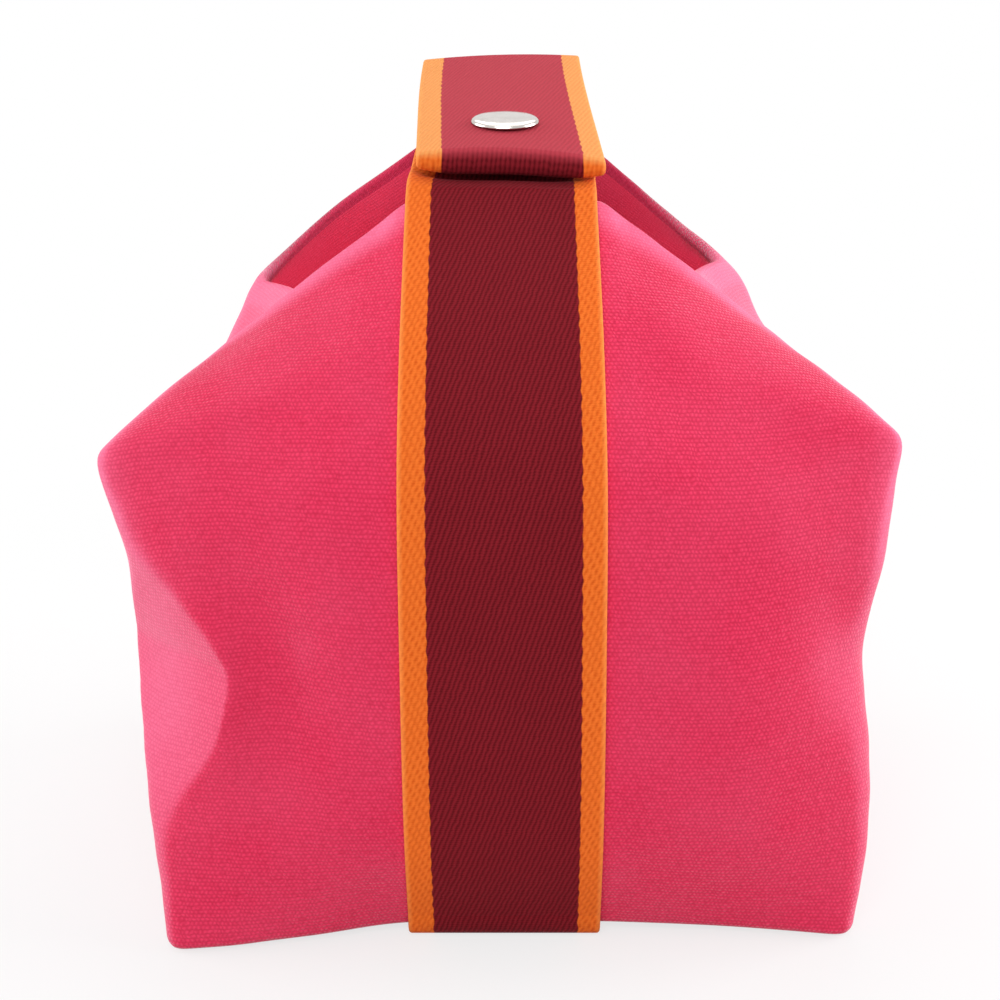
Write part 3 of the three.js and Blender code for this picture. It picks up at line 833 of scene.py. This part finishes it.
# painted light: the facings are paler at the rim, fading to none at their lower edge
paintedLightFromRim = facings["pale"] * np.linspace(1, 0, facings["rows"])[:, None]
for (name, node, wall), start, end in zip(facingPieces, seamAt, seamAt[1:]):
    outside, hidden, turn = facingFaces(start, end)
    lightAndWear = np.broadcast_to(paintedLightFromRim, outside.shape[:2])
    piece = sheetObject(name, outside, hidden, flatCoordinates(outside), turn, lightAndWear=lightAndWear)
    finishPiece(piece, facingCanvasPaintedLight, [node], "pouch")
print("rim facings made")

# base panel between the feet of the walls
basePanel = {
    "columns": 60,
    "rows": 44,
    "cloth": 1.2 * mm,
    "lift": 0.6 * mm,
    "lowest": 0.1 * mm,
    "cut": (0.176, 0.132),
}


def onEdge(edge, share):
    own = np.linspace(0, 1, len(edge))
    return np.stack([np.interp(share, own, edge[:, k]) for k in range(3)], -1)


def basePatch():
    foot = inner[:1]
    front, right, back, left = (columnsOf(foot, a, b)[0] for a, b in zip(seamAt, seamAt[1:]))
    s = np.linspace(0, 1, basePanel["columns"] + 1)
    t = np.linspace(0, 1, basePanel["rows"] + 1)
    front, back = onEdge(front, s), onEdge(back[::-1], s)
    left, right = onEdge(left[::-1], t), onEdge(right, t)
    s, t = s[None, :, None], t[:, None, None]
    patch = (1 - t) * front[None] + t * back[None] + (1 - s) * left[:, None] + s * right[:, None]
    frontCorners = (1 - s) * (1 - t) * front[0] + s * (1 - t) * front[-1]
    patch -= frontCorners + (1 - s) * t * back[0] + s * t * back[-1]
    bulge = np.sin(math.pi * s) * np.sin(math.pi * t)
    patch[..., 2] += (bulge * basePanel["lift"])[..., 0]
    patch[..., 2] = np.maximum(patch[..., 2], basePanel["lowest"])
    return patch


underside = basePatch()
upperside = underside + np.array([0, 0, basePanel["cloth"]])
piece = sheetObject("basePanel", upperside, underside, underside[..., :2])
finishPiece(piece, canvas, ["base_panel"], "pouch")

# bound seam allowances inside the corners
binding = {
    "width": 7 * mm,
    "thickness": 2.0 * mm,
    "unfolded": 16 * mm,
    "rows": (14, 138),          # of the wall's rows
    "root": (0.3, 0.5),         # first places out from the wall, in mm
    "steps": 7,
    "end": 0.25,
    "belly": 1.9,
    "square": 8,
    "thinnest": 0.02,
    "sway": 0.35 * mm,
    "swayTurn": 0.21,
}


def bindingFaces(column):
    rows = np.arange(*binding["rows"])
    root = inner[rows, column]
    inward = -unit(normal[rows, column])
    climb = unit(np.gradient(root, axis=0))
    side = unit(np.cross(climb, inward))
    wide = binding["width"] / mm
    places = np.linspace(1, wide, binding["steps"])
    reach = np.concatenate([binding["root"], places, [wide + binding["end"]]]) * mm
    share = reach / binding["width"]
    bulge = 1 - (share * binding["belly"] - 1) ** binding["square"]
    half = binding["thickness"] / 2 * np.sqrt(np.clip(bulge, binding["thinnest"], 1))
    middle = root[:, None] + inward[:, None] * reach[None, :, None]
    turns = np.arange(len(rows)) * binding["swayTurn"]
    sway = binding["sway"] * np.sin(turns)[:, None, None] * share[None, :, None]
    middle = middle + side[:, None] * sway
    face = middle + side[:, None] * half[None, :, None]
    rear = middle - side[:, None] * half[None, :, None]
    flat = np.stack(np.broadcast_arrays(reach[None, :], lengthAlong(root)[:, None]), -1)
    return face, rear, flat


bindingPieces = [
    ("bindingFrontLeft", "seam_binding_front_left"),
    ("bindingFrontRight", "seam_binding_front_right"),
    ("bindingBackRight", "seam_binding_back_right"),
    ("bindingBackLeft", "seam_binding_back_left"),
]
for (name, node), column in zip(bindingPieces, seamAt):
    face, rear, flat = bindingFaces(column)
    piece = sheetObject(name, rear, face, flat)
    finishPiece(piece, tape, [node], "pouch")
    cut = (binding["unfolded"], float(flat[-1, 0, 1]))

# tape over the base seam
baseTape = {
    "width": 10.6 * mm,
    "thickness": 1.0 * mm,
    "start": 0.6,               # out from the wall, in mm
    "steps": 6,
    "gap": 0.5 * mm,
    "aim": (0, 0, 0.003),
}


def baseTapeFaces():
    loop = np.vstack([inner[0], inner[0, :1]])
    inward = unit(np.array(baseTape["aim"]) - loop)
    inward[:, 2] = 0
    inward = unit(inward)
    reach = np.linspace(baseTape["start"], baseTape["width"] / mm, baseTape["steps"]) * mm
    low = loop[:, None] + inward[:, None] * reach[None, :, None]
    low[..., 2] += basePanel["cloth"] + baseTape["gap"]
    high = low + np.array([0, 0, baseTape["thickness"]])
    flat = np.stack(np.broadcast_arrays(reach[None, :], lengthAlong(loop)[:, None]), -1)
    return high, low, flat


high, low, flat = baseTapeFaces()
piece = sheetObject("baseTape", low, high, flat)
mergeDoubles(piece)
finishPiece(piece, tape, ["base_seam_tape"], "pouch")
print("seam trims made")

# webbing: one strap round the pouch, cut where it bends as a joint
strap = {
    "half": 25 * mm,
    "thick": 1.9 * mm,
    "edgeRound": 0.9 * mm,
    "edgeSteps": 6,
    "columns": 34,
    "crestShape": 4,
    "crease": math.radians(60),
    "gap": 0.35 * mm,
    "step": 1.6 * mm,
    "footFrom": 7 * mm,
    "footRadius": 3.6 * mm,
    "footKnee": 0.6 * mm,
    "footPulls": (0.7, 0.2),
    "footSteps": 16,
    "ripples": ((0.18, 9, 2), (0.12, 23, -3)),      # height in mm, turns along and across
    "leans": (-1.0, -0.2, 0.0, -0.6),       # sideways in mm, from the front's top to the back's
    "paintedSheen": 0.75,              # painted sheen: how much paler the handle is where it faces up
    "paintedSheenTurn": (0.05, 0.97),
}

# the handle's upper face over the mouth
flap = {
    "place": (-0.3 * mm, 206.2 * mm),       # y and z of the snap's middle
    "tilt": math.radians(14.1),
    "tail": 21.0 * mm,          # where the handle ends and its tip begins
}
flapCos, flapSin = math.cos(flap["tilt"]), math.sin(flap["tilt"])


# from along and above the flap to y and z
def onPouch(u, w):
    u, w = np.asarray(u, float), np.asarray(w, float)
    y = flap["place"][0] + u * flapCos - w * flapSin
    z = flap["place"][1] + u * flapSin + w * flapCos
    return np.stack([y, z], -1)


def onFlap(point):
    dy, dz = point[0] - flap["place"][0], point[1] - flap["place"][1]
    return np.array([dy * flapCos + dz * flapSin, -dy * flapSin + dz * flapCos])


def evenly(path, step):
    along = lengthAlong(path)
    count = max(2, int(round(along[-1] / step)) + 1)
    at = np.linspace(0, along[-1], count)
    return np.stack([np.interp(at, along, path[:, k]) for k in range(2)], -1)


def bezier(a, b, c, d, count):
    t = np.linspace(0, 1, count)[:, None]
    return (1 - t) ** 3 * a + 3 * (1 - t) ** 2 * t * b + 3 * (1 - t) * t * t * c + t**3 * d


def pathSides(path):
    tangent = unit(np.gradient(path, axis=0))
    return np.stack([-tangent[:, 1], tangent[:, 0]], -1)


# a strip of webbing along (y, z) points; bow moves it sideways and out by place across and along,
# and crest is the line that its middle follows where that differs from its edges
def webbingStrip(name, path, sides, start, bow, crest=None, lifted=None, paintedSheen=0.0):
    half, edgeRound = strap["half"], strap["edgeRound"]
    edge = half - edgeRound * (1 - np.cos(np.linspace(0, math.pi / 2, strap["edgeSteps"])))
    inside = np.linspace(-edge[-1], edge[-1], strap["columns"])
    x = np.concatenate([-edge[:-1], inside, edge[:-1][::-1]])
    rounding = np.clip((np.abs(x) - (half - edgeRound)) / edgeRound, 0, 1)
    thick = (strap["thick"] / 2 * np.sqrt(1 - rounding**2))[None, :, None]
    along = lengthAlong(path)
    spot = np.repeat(path[:, None, :], len(x), axis=1)
    turn = np.repeat(sides[:, None, :], len(x), axis=1)
    if crest is not None:
        swell = (1 - (x / half) ** strap["crestShape"])[None, :, None]
        spot = spot + swell * (crest - path)[:, None, :]
        turn = unit(turn + swell * (-pathSides(crest) - sides)[:, None, :])
    middle = np.concatenate([np.broadcast_to(x[None, :, None], spot.shape[:2] + (1,)), spot], -1)
    out = np.concatenate([np.zeros(spot.shape[:2] + (1,)), turn], -1)
    sideways, lift = bow(x[None, :] / half, (along / along[-1])[:, None])
    middle[..., 0] += sideways
    middle += (out if lifted is None else np.array(lifted)) * np.asarray(lift)[..., None]
    flat = np.stack(np.broadcast_arrays(x[None, :], start + along[:, None]), -1)
    # painted sheen: paler where the strip's faces turn up
    lightAndWear = paintedSheen * smoothStep(*strap["paintedSheenTurn"], turn[..., 1])
    piece = sheetObject(name, middle + out * thick, middle - out * thick, flat, openSides=False, lightAndWear=lightAndWear)
    mergeDoubles(piece)
    piece.select_set(True)
    bpy.ops.object.shade_smooth_by_angle(angle=strap["crease"])
    return piece


def wallPath(column):
    points, out = ring[:, column, 1:], normal[:, column, 1:]
    keep = points[:, 1] > strap["footFrom"]
    return points[keep] + unit(out[keep]) * (strap["gap"] + strap["thick"] / 2)


def footPath(top, sign):
    high, level = top[0], strap["thick"] / 2
    low = np.array([high[0] - sign * strap["footRadius"], level])
    knee = np.array([high[0] - sign * strap["footKnee"], level])
    firstPull, lastPull = strap["footPulls"]
    leave, arrive = high + (knee - high) * firstPull, knee + (low - knee) * lastPull
    return bezier(high, leave, arrive, low, strap["footSteps"])


frontPath, backPath = wallPath(panelColumns // 2), wallPath(seamAt[2] + panelColumns // 2)
frontFoot, backFoot = footPath(frontPath, -1), footPath(backPath, 1)
wholePath = np.vstack([frontPath[::-1], frontFoot[1:], backFoot[::-1], backPath[1:]])
wholePath = evenly(wholePath, strap["step"])
wholeSides = -pathSides(wholePath)
wholeAlong = lengthAlong(wholePath)
frontEnd = int(np.argmin(np.abs(wholeAlong - lengthAlong(frontPath)[-1])))
backStart = len(wholePath) - 1 - int(np.argmin(np.abs(wholeAlong - lengthAlong(backPath)[-1])))


def leaning(first, last, rippled):
    def bow(x, s):
        waves = sum(height * np.sin(along * s + across * x) for height, along, across in strap["ripples"])
        return (first + (last - first) * s) * mm, waves * np.sin(math.pi * s) * rippled * mm
    return bow


strapPieces = [
    ("frontStrap", "front_strap", 1),
    ("baseStrap", "base_strap", 0),
    ("backStrap", "back_strap", 1),
]
cuts, leans = [0, frontEnd, backStart, len(wholePath) - 1], strap["leans"]
for (name, node, rippled), first, last, lean, nextLean in zip(strapPieces, cuts, cuts[1:], leans, leans[1:]):
    part = slice(first, last + 1)
    bow = leaning(lean, nextLean, rippled)
    piece = webbingStrip(name, wholePath[part], wholeSides[part], wholeAlong[first], bow)
    finishPiece(piece, webbing, [node], "pouch")
print("strap round the pouch made, length", round(float(wholeAlong[-1]), 4))

# front tab: the strap's end bends back over the mouth, under the flap; its edges stand up, and its middle
# turns back at once and sags between the rim and the snap, which leaves a dark pocket under the fold
tabBend = {
    "edge": (3.0 * mm, 4.5 * mm, 4.5 * mm),         # how far it stands over the rim, and its bend's pulls
    "middle": (2.6 * mm, 0.9 * mm, 11.5 * mm),
    "dip": 3.2 * mm,
    "dipRun": (-26 * mm, -7 * mm),
    "level": -9.4 * mm,
    "lead": 12 * mm,
    "tail": 16 * mm,
    "steps": (4, 26, 24),       # standing, bending and level
    "lean": -1.0 * mm,
    "press": 1.5 * mm,
    "pressRise": (0.5, 0.78),
    "pressFall": (0.88, 1),
    "pressShape": 1.5,
    "blendRow": 16,
}


def tabPath(rise, firstPull, lastPull, dip=0.0):
    standSteps, bendSteps, levelSteps = tabBend["steps"]
    start = wholePath[0]
    heading = unit((wholePath[0] - wholePath[2])[None])[0]
    flatStart = onPouch(-tabBend["lead"], tabBend["level"])
    ahead = np.array([flapCos, flapSin])
    knee = start + heading * rise
    stand = start + np.linspace(0, 1, standSteps + 1)[:-1, None] * (knee - start)
    bend = bezier(knee, knee + heading * firstPull, flatStart - ahead * lastPull, flatStart, bendSteps)
    over = np.linspace(-tabBend["lead"], tabBend["tail"], levelSteps)
    level = onPouch(over, np.full(levelSteps, tabBend["level"]))
    line = np.vstack([stand, bend, level[1:]])
    along, above = np.array([onFlap(point) for point in line]).T
    low, high = tabBend["dipRun"]
    sag = np.sin(math.pi * np.clip((along - low) / (high - low), 0, 1)) ** 2
    return onPouch(along, above - dip * sag)


# the flap's fold presses the right side down, short of where the tab joins the strap
def pressedTab(x, s):
    pressed = smoothStep(*tabBend["pressRise"], s) * (1 - smoothStep(*tabBend["pressFall"], s))
    return tabBend["lean"] * s, -tabBend["press"] * pressed * np.maximum(x, 0) ** tabBend["pressShape"]


path = tabPath(*tabBend["edge"])
crest = tabPath(*tabBend["middle"], tabBend["dip"])
tabLength = float(lengthAlong(path)[-1])
tab = webbingStrip("frontTab", path[::-1], -pathSides(path[::-1]), -tabLength, pressedTab, crest[::-1])
finishPiece(tab, webbing, ["front_tab"])
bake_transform(tab)


# the flap is crowned over the snap, and leans to one side towards its tip; pairs are start and end, in mm
def crowned(side, crown, roll, midRoll=0.0, midSide=0.0):
    def bow(x, s):
        swell = np.sin(math.pi * s)
        sideways = (side[0] + (side[1] - side[0]) * s + midSide * swell) * mm
        arch = (crown[0] + (crown[1] - crown[0]) * s) * mm
        turn = (roll[0] + (roll[1] - roll[0]) * s - midRoll * swell) * mm
        return sideways, -arch * x**2 - turn * x
    return bow


# handle: up from the back strap, round a bend and level over the mouth
handleRun = {
    "bend": 5.0 * mm,
    "bendSteps": 24,
    "step": 1.2 * mm,
    "bow": crowned(side=(-0.6, -0.2), crown=(0.8, 1.3), roll=(0.0, 0.2), midRoll=0.8, midSide=-0.8),
    "blend": 13 * mm,
}


def handlePath():
    start = onFlap(wholePath[-1])
    before = onFlap(wholePath[-3])
    heading = unit((start - before)[None])[0]
    level, radius = -strap["thick"] / 2, handleRun["bend"]
    corner = start + heading * (level - start[1]) / heading[1]
    turn = math.pi - math.acos(heading[0])
    centre = corner + np.array([-radius * math.tan(turn / 2), -radius])
    angle = np.linspace(turn, 0, handleRun["bendSteps"])
    bend = centre + radius * np.stack([np.sin(angle), np.cos(angle)], -1)
    line = np.vstack([start[None], bend, [[flap["tail"], level]]])
    return evenly(onPouch(line[:, 0], line[:, 1]), handleRun["step"])


path = handlePath()
handleStart, handleLength = float(wholeAlong[-1]), float(lengthAlong(path)[-1])
handle = webbingStrip(
    "handleStrap", path, -pathSides(path), handleStart, handleRun["bow"], paintedSheen=strap["paintedSheen"])
finishPiece(handle, webbing, ["handle_strap"])
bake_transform(handle)

# tip: the webbing turned under itself in a soft fold, fuller in the middle than at its edges
tipFold = {
    "reach": 25.6 * mm,
    "underTail": 17.0 * mm,
    "depth": 4.2 * mm,
    "swell": 2.8 * mm,          # radius of the fold in its middle
    "end": -7 * mm,
    "flatSteps": 38,
    "foldSteps": 26,
    "bow": crowned(side=(-0.2, 1.6), crown=(1.3, 1.9), roll=(0.2, 1.0)),
    "foldShare": 0.52,
    "blend": 9 * mm,
}


def tipPath(radius):
    level, steps = -strap["thick"] / 2, tipFold["flatSteps"]
    under = level - tipFold["depth"] + strap["thick"]
    centre = np.array([-tipFold["reach"] + radius + strap["thick"] / 2, level - radius])
    upper = np.stack([np.linspace(flap["tail"], centre[0], steps), np.full(steps, level)], -1)
    angle = np.linspace(math.pi / 2, 3 * math.pi / 2, tipFold["foldSteps"])
    fold = centre + radius * np.stack([np.cos(angle), np.sin(angle)], -1)
    along = np.linspace(centre[0], tipFold["underTail"], steps)
    low = level - 2 * radius
    lower = np.stack([along, low + (under - low) * smoothStep(centre[0], tipFold["end"], along)], -1)
    line = np.vstack([upper[:-1], fold, lower[1:]])
    return onPouch(line[:, 0], line[:, 1])


# both layers of the fold move together
def foldedBow(x, s):
    share = tipFold["foldShare"]
    return tipFold["bow"](x, np.minimum(s, 2 * share - s) / share)


path = tipPath((tipFold["depth"] - strap["thick"]) / 2)
tip = webbingStrip(
    "handleTip", path, -pathSides(path), handleStart + handleLength, foldedBow, tipPath(tipFold["swell"]),
    lifted=(0, -flapSin, flapCos), paintedSheen=strap["paintedSheen"])
finishPiece(tip, webbing, ["handle_tip"])
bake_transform(tip)

# press snap, turned on the flap's axis from profiles of radius and height in mm
snap = {
    "cap": [
        (0.0, 1.55), (5.5, 1.5), (7.9, 1.42), (8.5, 1.3), (9.0, 1.05), (9.4, 0.65), (9.5, 0.3), (9.3, 0.0),
        (8.8, -0.15), (2.2, -0.1), (2.0, -5.2), (0.0, -5.2),
    ],
    "socket": [
        (2.3, -4.6), (4.9, -4.6), (5.4, -4.75), (5.6, -5.1), (5.6, -6.5), (5.4, -6.9), (5.0, -7.0),
        (3.2, -7.0), (3.0, -6.8), (3.0, -5.4), (2.3, -5.4), (2.3, -4.6),
    ],
    "stud": [
        (0.0, -5.8), (1.8, -5.85), (2.3, -6.1), (2.6, -6.55), (2.45, -6.95), (2.2, -7.3), (4.6, -7.3),
        (5.1, -7.45), (5.2, -7.75), (5.1, -8.1), (1.9, -8.1), (1.9, -11.5), (0.0, -11.5),
    ],
    "eyelet": [
        (2.2, -10.7), (5.0, -10.7), (5.2, -10.9), (5.2, -11.3), (5.0, -11.5), (2.4, -11.5), (2.2, -11.3),
        (2.2, -10.7),
    ],
    "capLean": math.radians(4.6),
    "segments": 72,
    "crease": math.radians(40),
}


def turnedPiece(name, profile, lean):
    bpy.ops.object.select_all(action="DESELECT")
    bpy.ops.mesh.primitive_plane_add(size=1 * mm)
    piece = bpy.context.object
    piece.name = piece.data.name = name
    piece.data.clear_geometry()
    points = [(r * mm, 0, h * mm) for r, h in profile]
    piece.data.from_pydata(points, [(i, i + 1) for i in range(len(points) - 1)], [])
    bpy.ops.object.mode_set(mode="EDIT")
    bpy.ops.mesh.select_all(action="SELECT")
    bpy.ops.mesh.spin(steps=snap["segments"], angle=2 * math.pi, center=(0, 0, 0), axis=(0, 0, 1))
    bpy.ops.mesh.select_all(action="SELECT")
    bpy.ops.mesh.remove_doubles(threshold=weldWithin)
    bpy.ops.mesh.normals_make_consistent(inside=False)
    bpy.ops.object.mode_set(mode="OBJECT")
    piece.rotation_euler = (flap["tilt"] - lean, 0, 0)
    piece.location = (0, *flap["place"])
    bpy.ops.object.transform_apply(location=True, rotation=True, scale=True)
    bpy.ops.object.shade_smooth_by_angle(angle=snap["crease"])
    return piece


for name, node, shape, body, lean in (
    ("snapCap", "snap_cap", "cap", "tip", snap["capLean"]),
    ("snapSocket", "snap_socket", "socket", "tip", 0.0),
    ("snapStud", "snap_stud", "stud", "tab", 0.0),
    ("snapEyelet", "snap_eyelet", "eyelet", "tab", 0.0),
):
    piece = turnedPiece(name, snap[shape], lean)
    finishPiece(piece, metal, [node], body)
print("press snap made")

# floor, light and surroundings
studio = {
    "floor": 6.0,
    "floorDrop": -0.0002,
    "floorSockets": {"Base Color": (0.74, 0.74, 0.74, 1), "Roughness": 0.9, "Specular IOR Level": 0.1},
    "glow": {"Color": (1, 1, 1, 1), "Strength": 1.0},
    "glowRange": {"From Min": 0.12, "From Max": 0.42, "To Min": 0.72},
    "lamps": [
        ("topLamp", (0.0, 0.45, 1.15), 1.2, 7.5),
        ("leftLamp", (-1.1, 0.1, 0.45), 0.8, 8.2),
        ("rightLamp", (1.1, 0.1, 0.5), 0.8, 13.0),
        ("frontLamp", (-0.15, -1.2, 0.96), 1.1, 15.0),
    ],
    "aim": (0, 0, 0.1),
    "world": 0.2,
}


# 1 where the camera sees a surface straight, mirrored or through another
def seenShare(tree):
    node = tree.nodes.new("ShaderNodeLightPath")
    seen = calc(tree, "MAXIMUM", node.outputs["Is Camera Ray"], node.outputs["Is Glossy Ray"])
    return calc(tree, "MAXIMUM", seen, node.outputs["Is Transmission Ray"])


def floorMaterial():
    material, tree, shader = newMaterial("studioFloor")
    for socket, value in studio["floorSockets"].items():
        shader.inputs[socket].default_value = value
    glow = addNode(tree, "ShaderNodeEmission", studio["glow"])
    place = addNode(tree, "ShaderNodeTexCoord").outputs["Object"]
    away = addNode(tree, "ShaderNodeVectorMath", {0: place}, operation="LENGTH").outputs["Value"]
    far = addNode(tree, "ShaderNodeMapRange", {"Value": away, **studio["glowRange"]}).outputs["Result"]
    share = calc(tree, "MULTIPLY", seenShare(tree), far)
    mix = addNode(tree, "ShaderNodeMixShader", {0: share, 1: shader.outputs[0], 2: glow.outputs[0]})
    tree.links.new(mix.outputs[0], tree.nodes["Material Output"].inputs["Surface"])
    return material


bpy.ops.object.select_all(action="DESELECT")
bpy.ops.mesh.primitive_plane_add(size=studio["floor"], location=(0, 0, studio["floorDrop"]))
floor = bpy.context.object
floor.name = "studioFloor"
floor.data.materials.append(floorMaterial())

world = bpy.data.worlds.new("studioWorld")
bpy.context.scene.world = world
world.use_nodes = True
worldTree = world.node_tree
background = worldTree.nodes["Background"]
background.inputs["Color"].default_value = (1, 1, 1, 1)
strength = calc(worldTree, "MULTIPLY_ADD", seenShare(worldTree), 1 - studio["world"], studio["world"])
worldTree.links.new(strength, background.inputs["Strength"])

for name, place, size, power in studio["lamps"]:
    bpy.ops.object.light_add(type="AREA", location=place)
    lamp = bpy.context.object
    lamp.name = name
    lamp.data.size = size
    lamp.data.energy = power
    away = np.array(place) - np.array(studio["aim"])
    flatAway = math.hypot(away[0], away[1])
    lamp.rotation_euler = (math.atan2(flatAway, away[2]), 0, math.atan2(away[0], -away[1]))

bpy.context.scene.view_settings.view_transform = "Standard"
print("studio set")

bpy.context.view_layer.update()
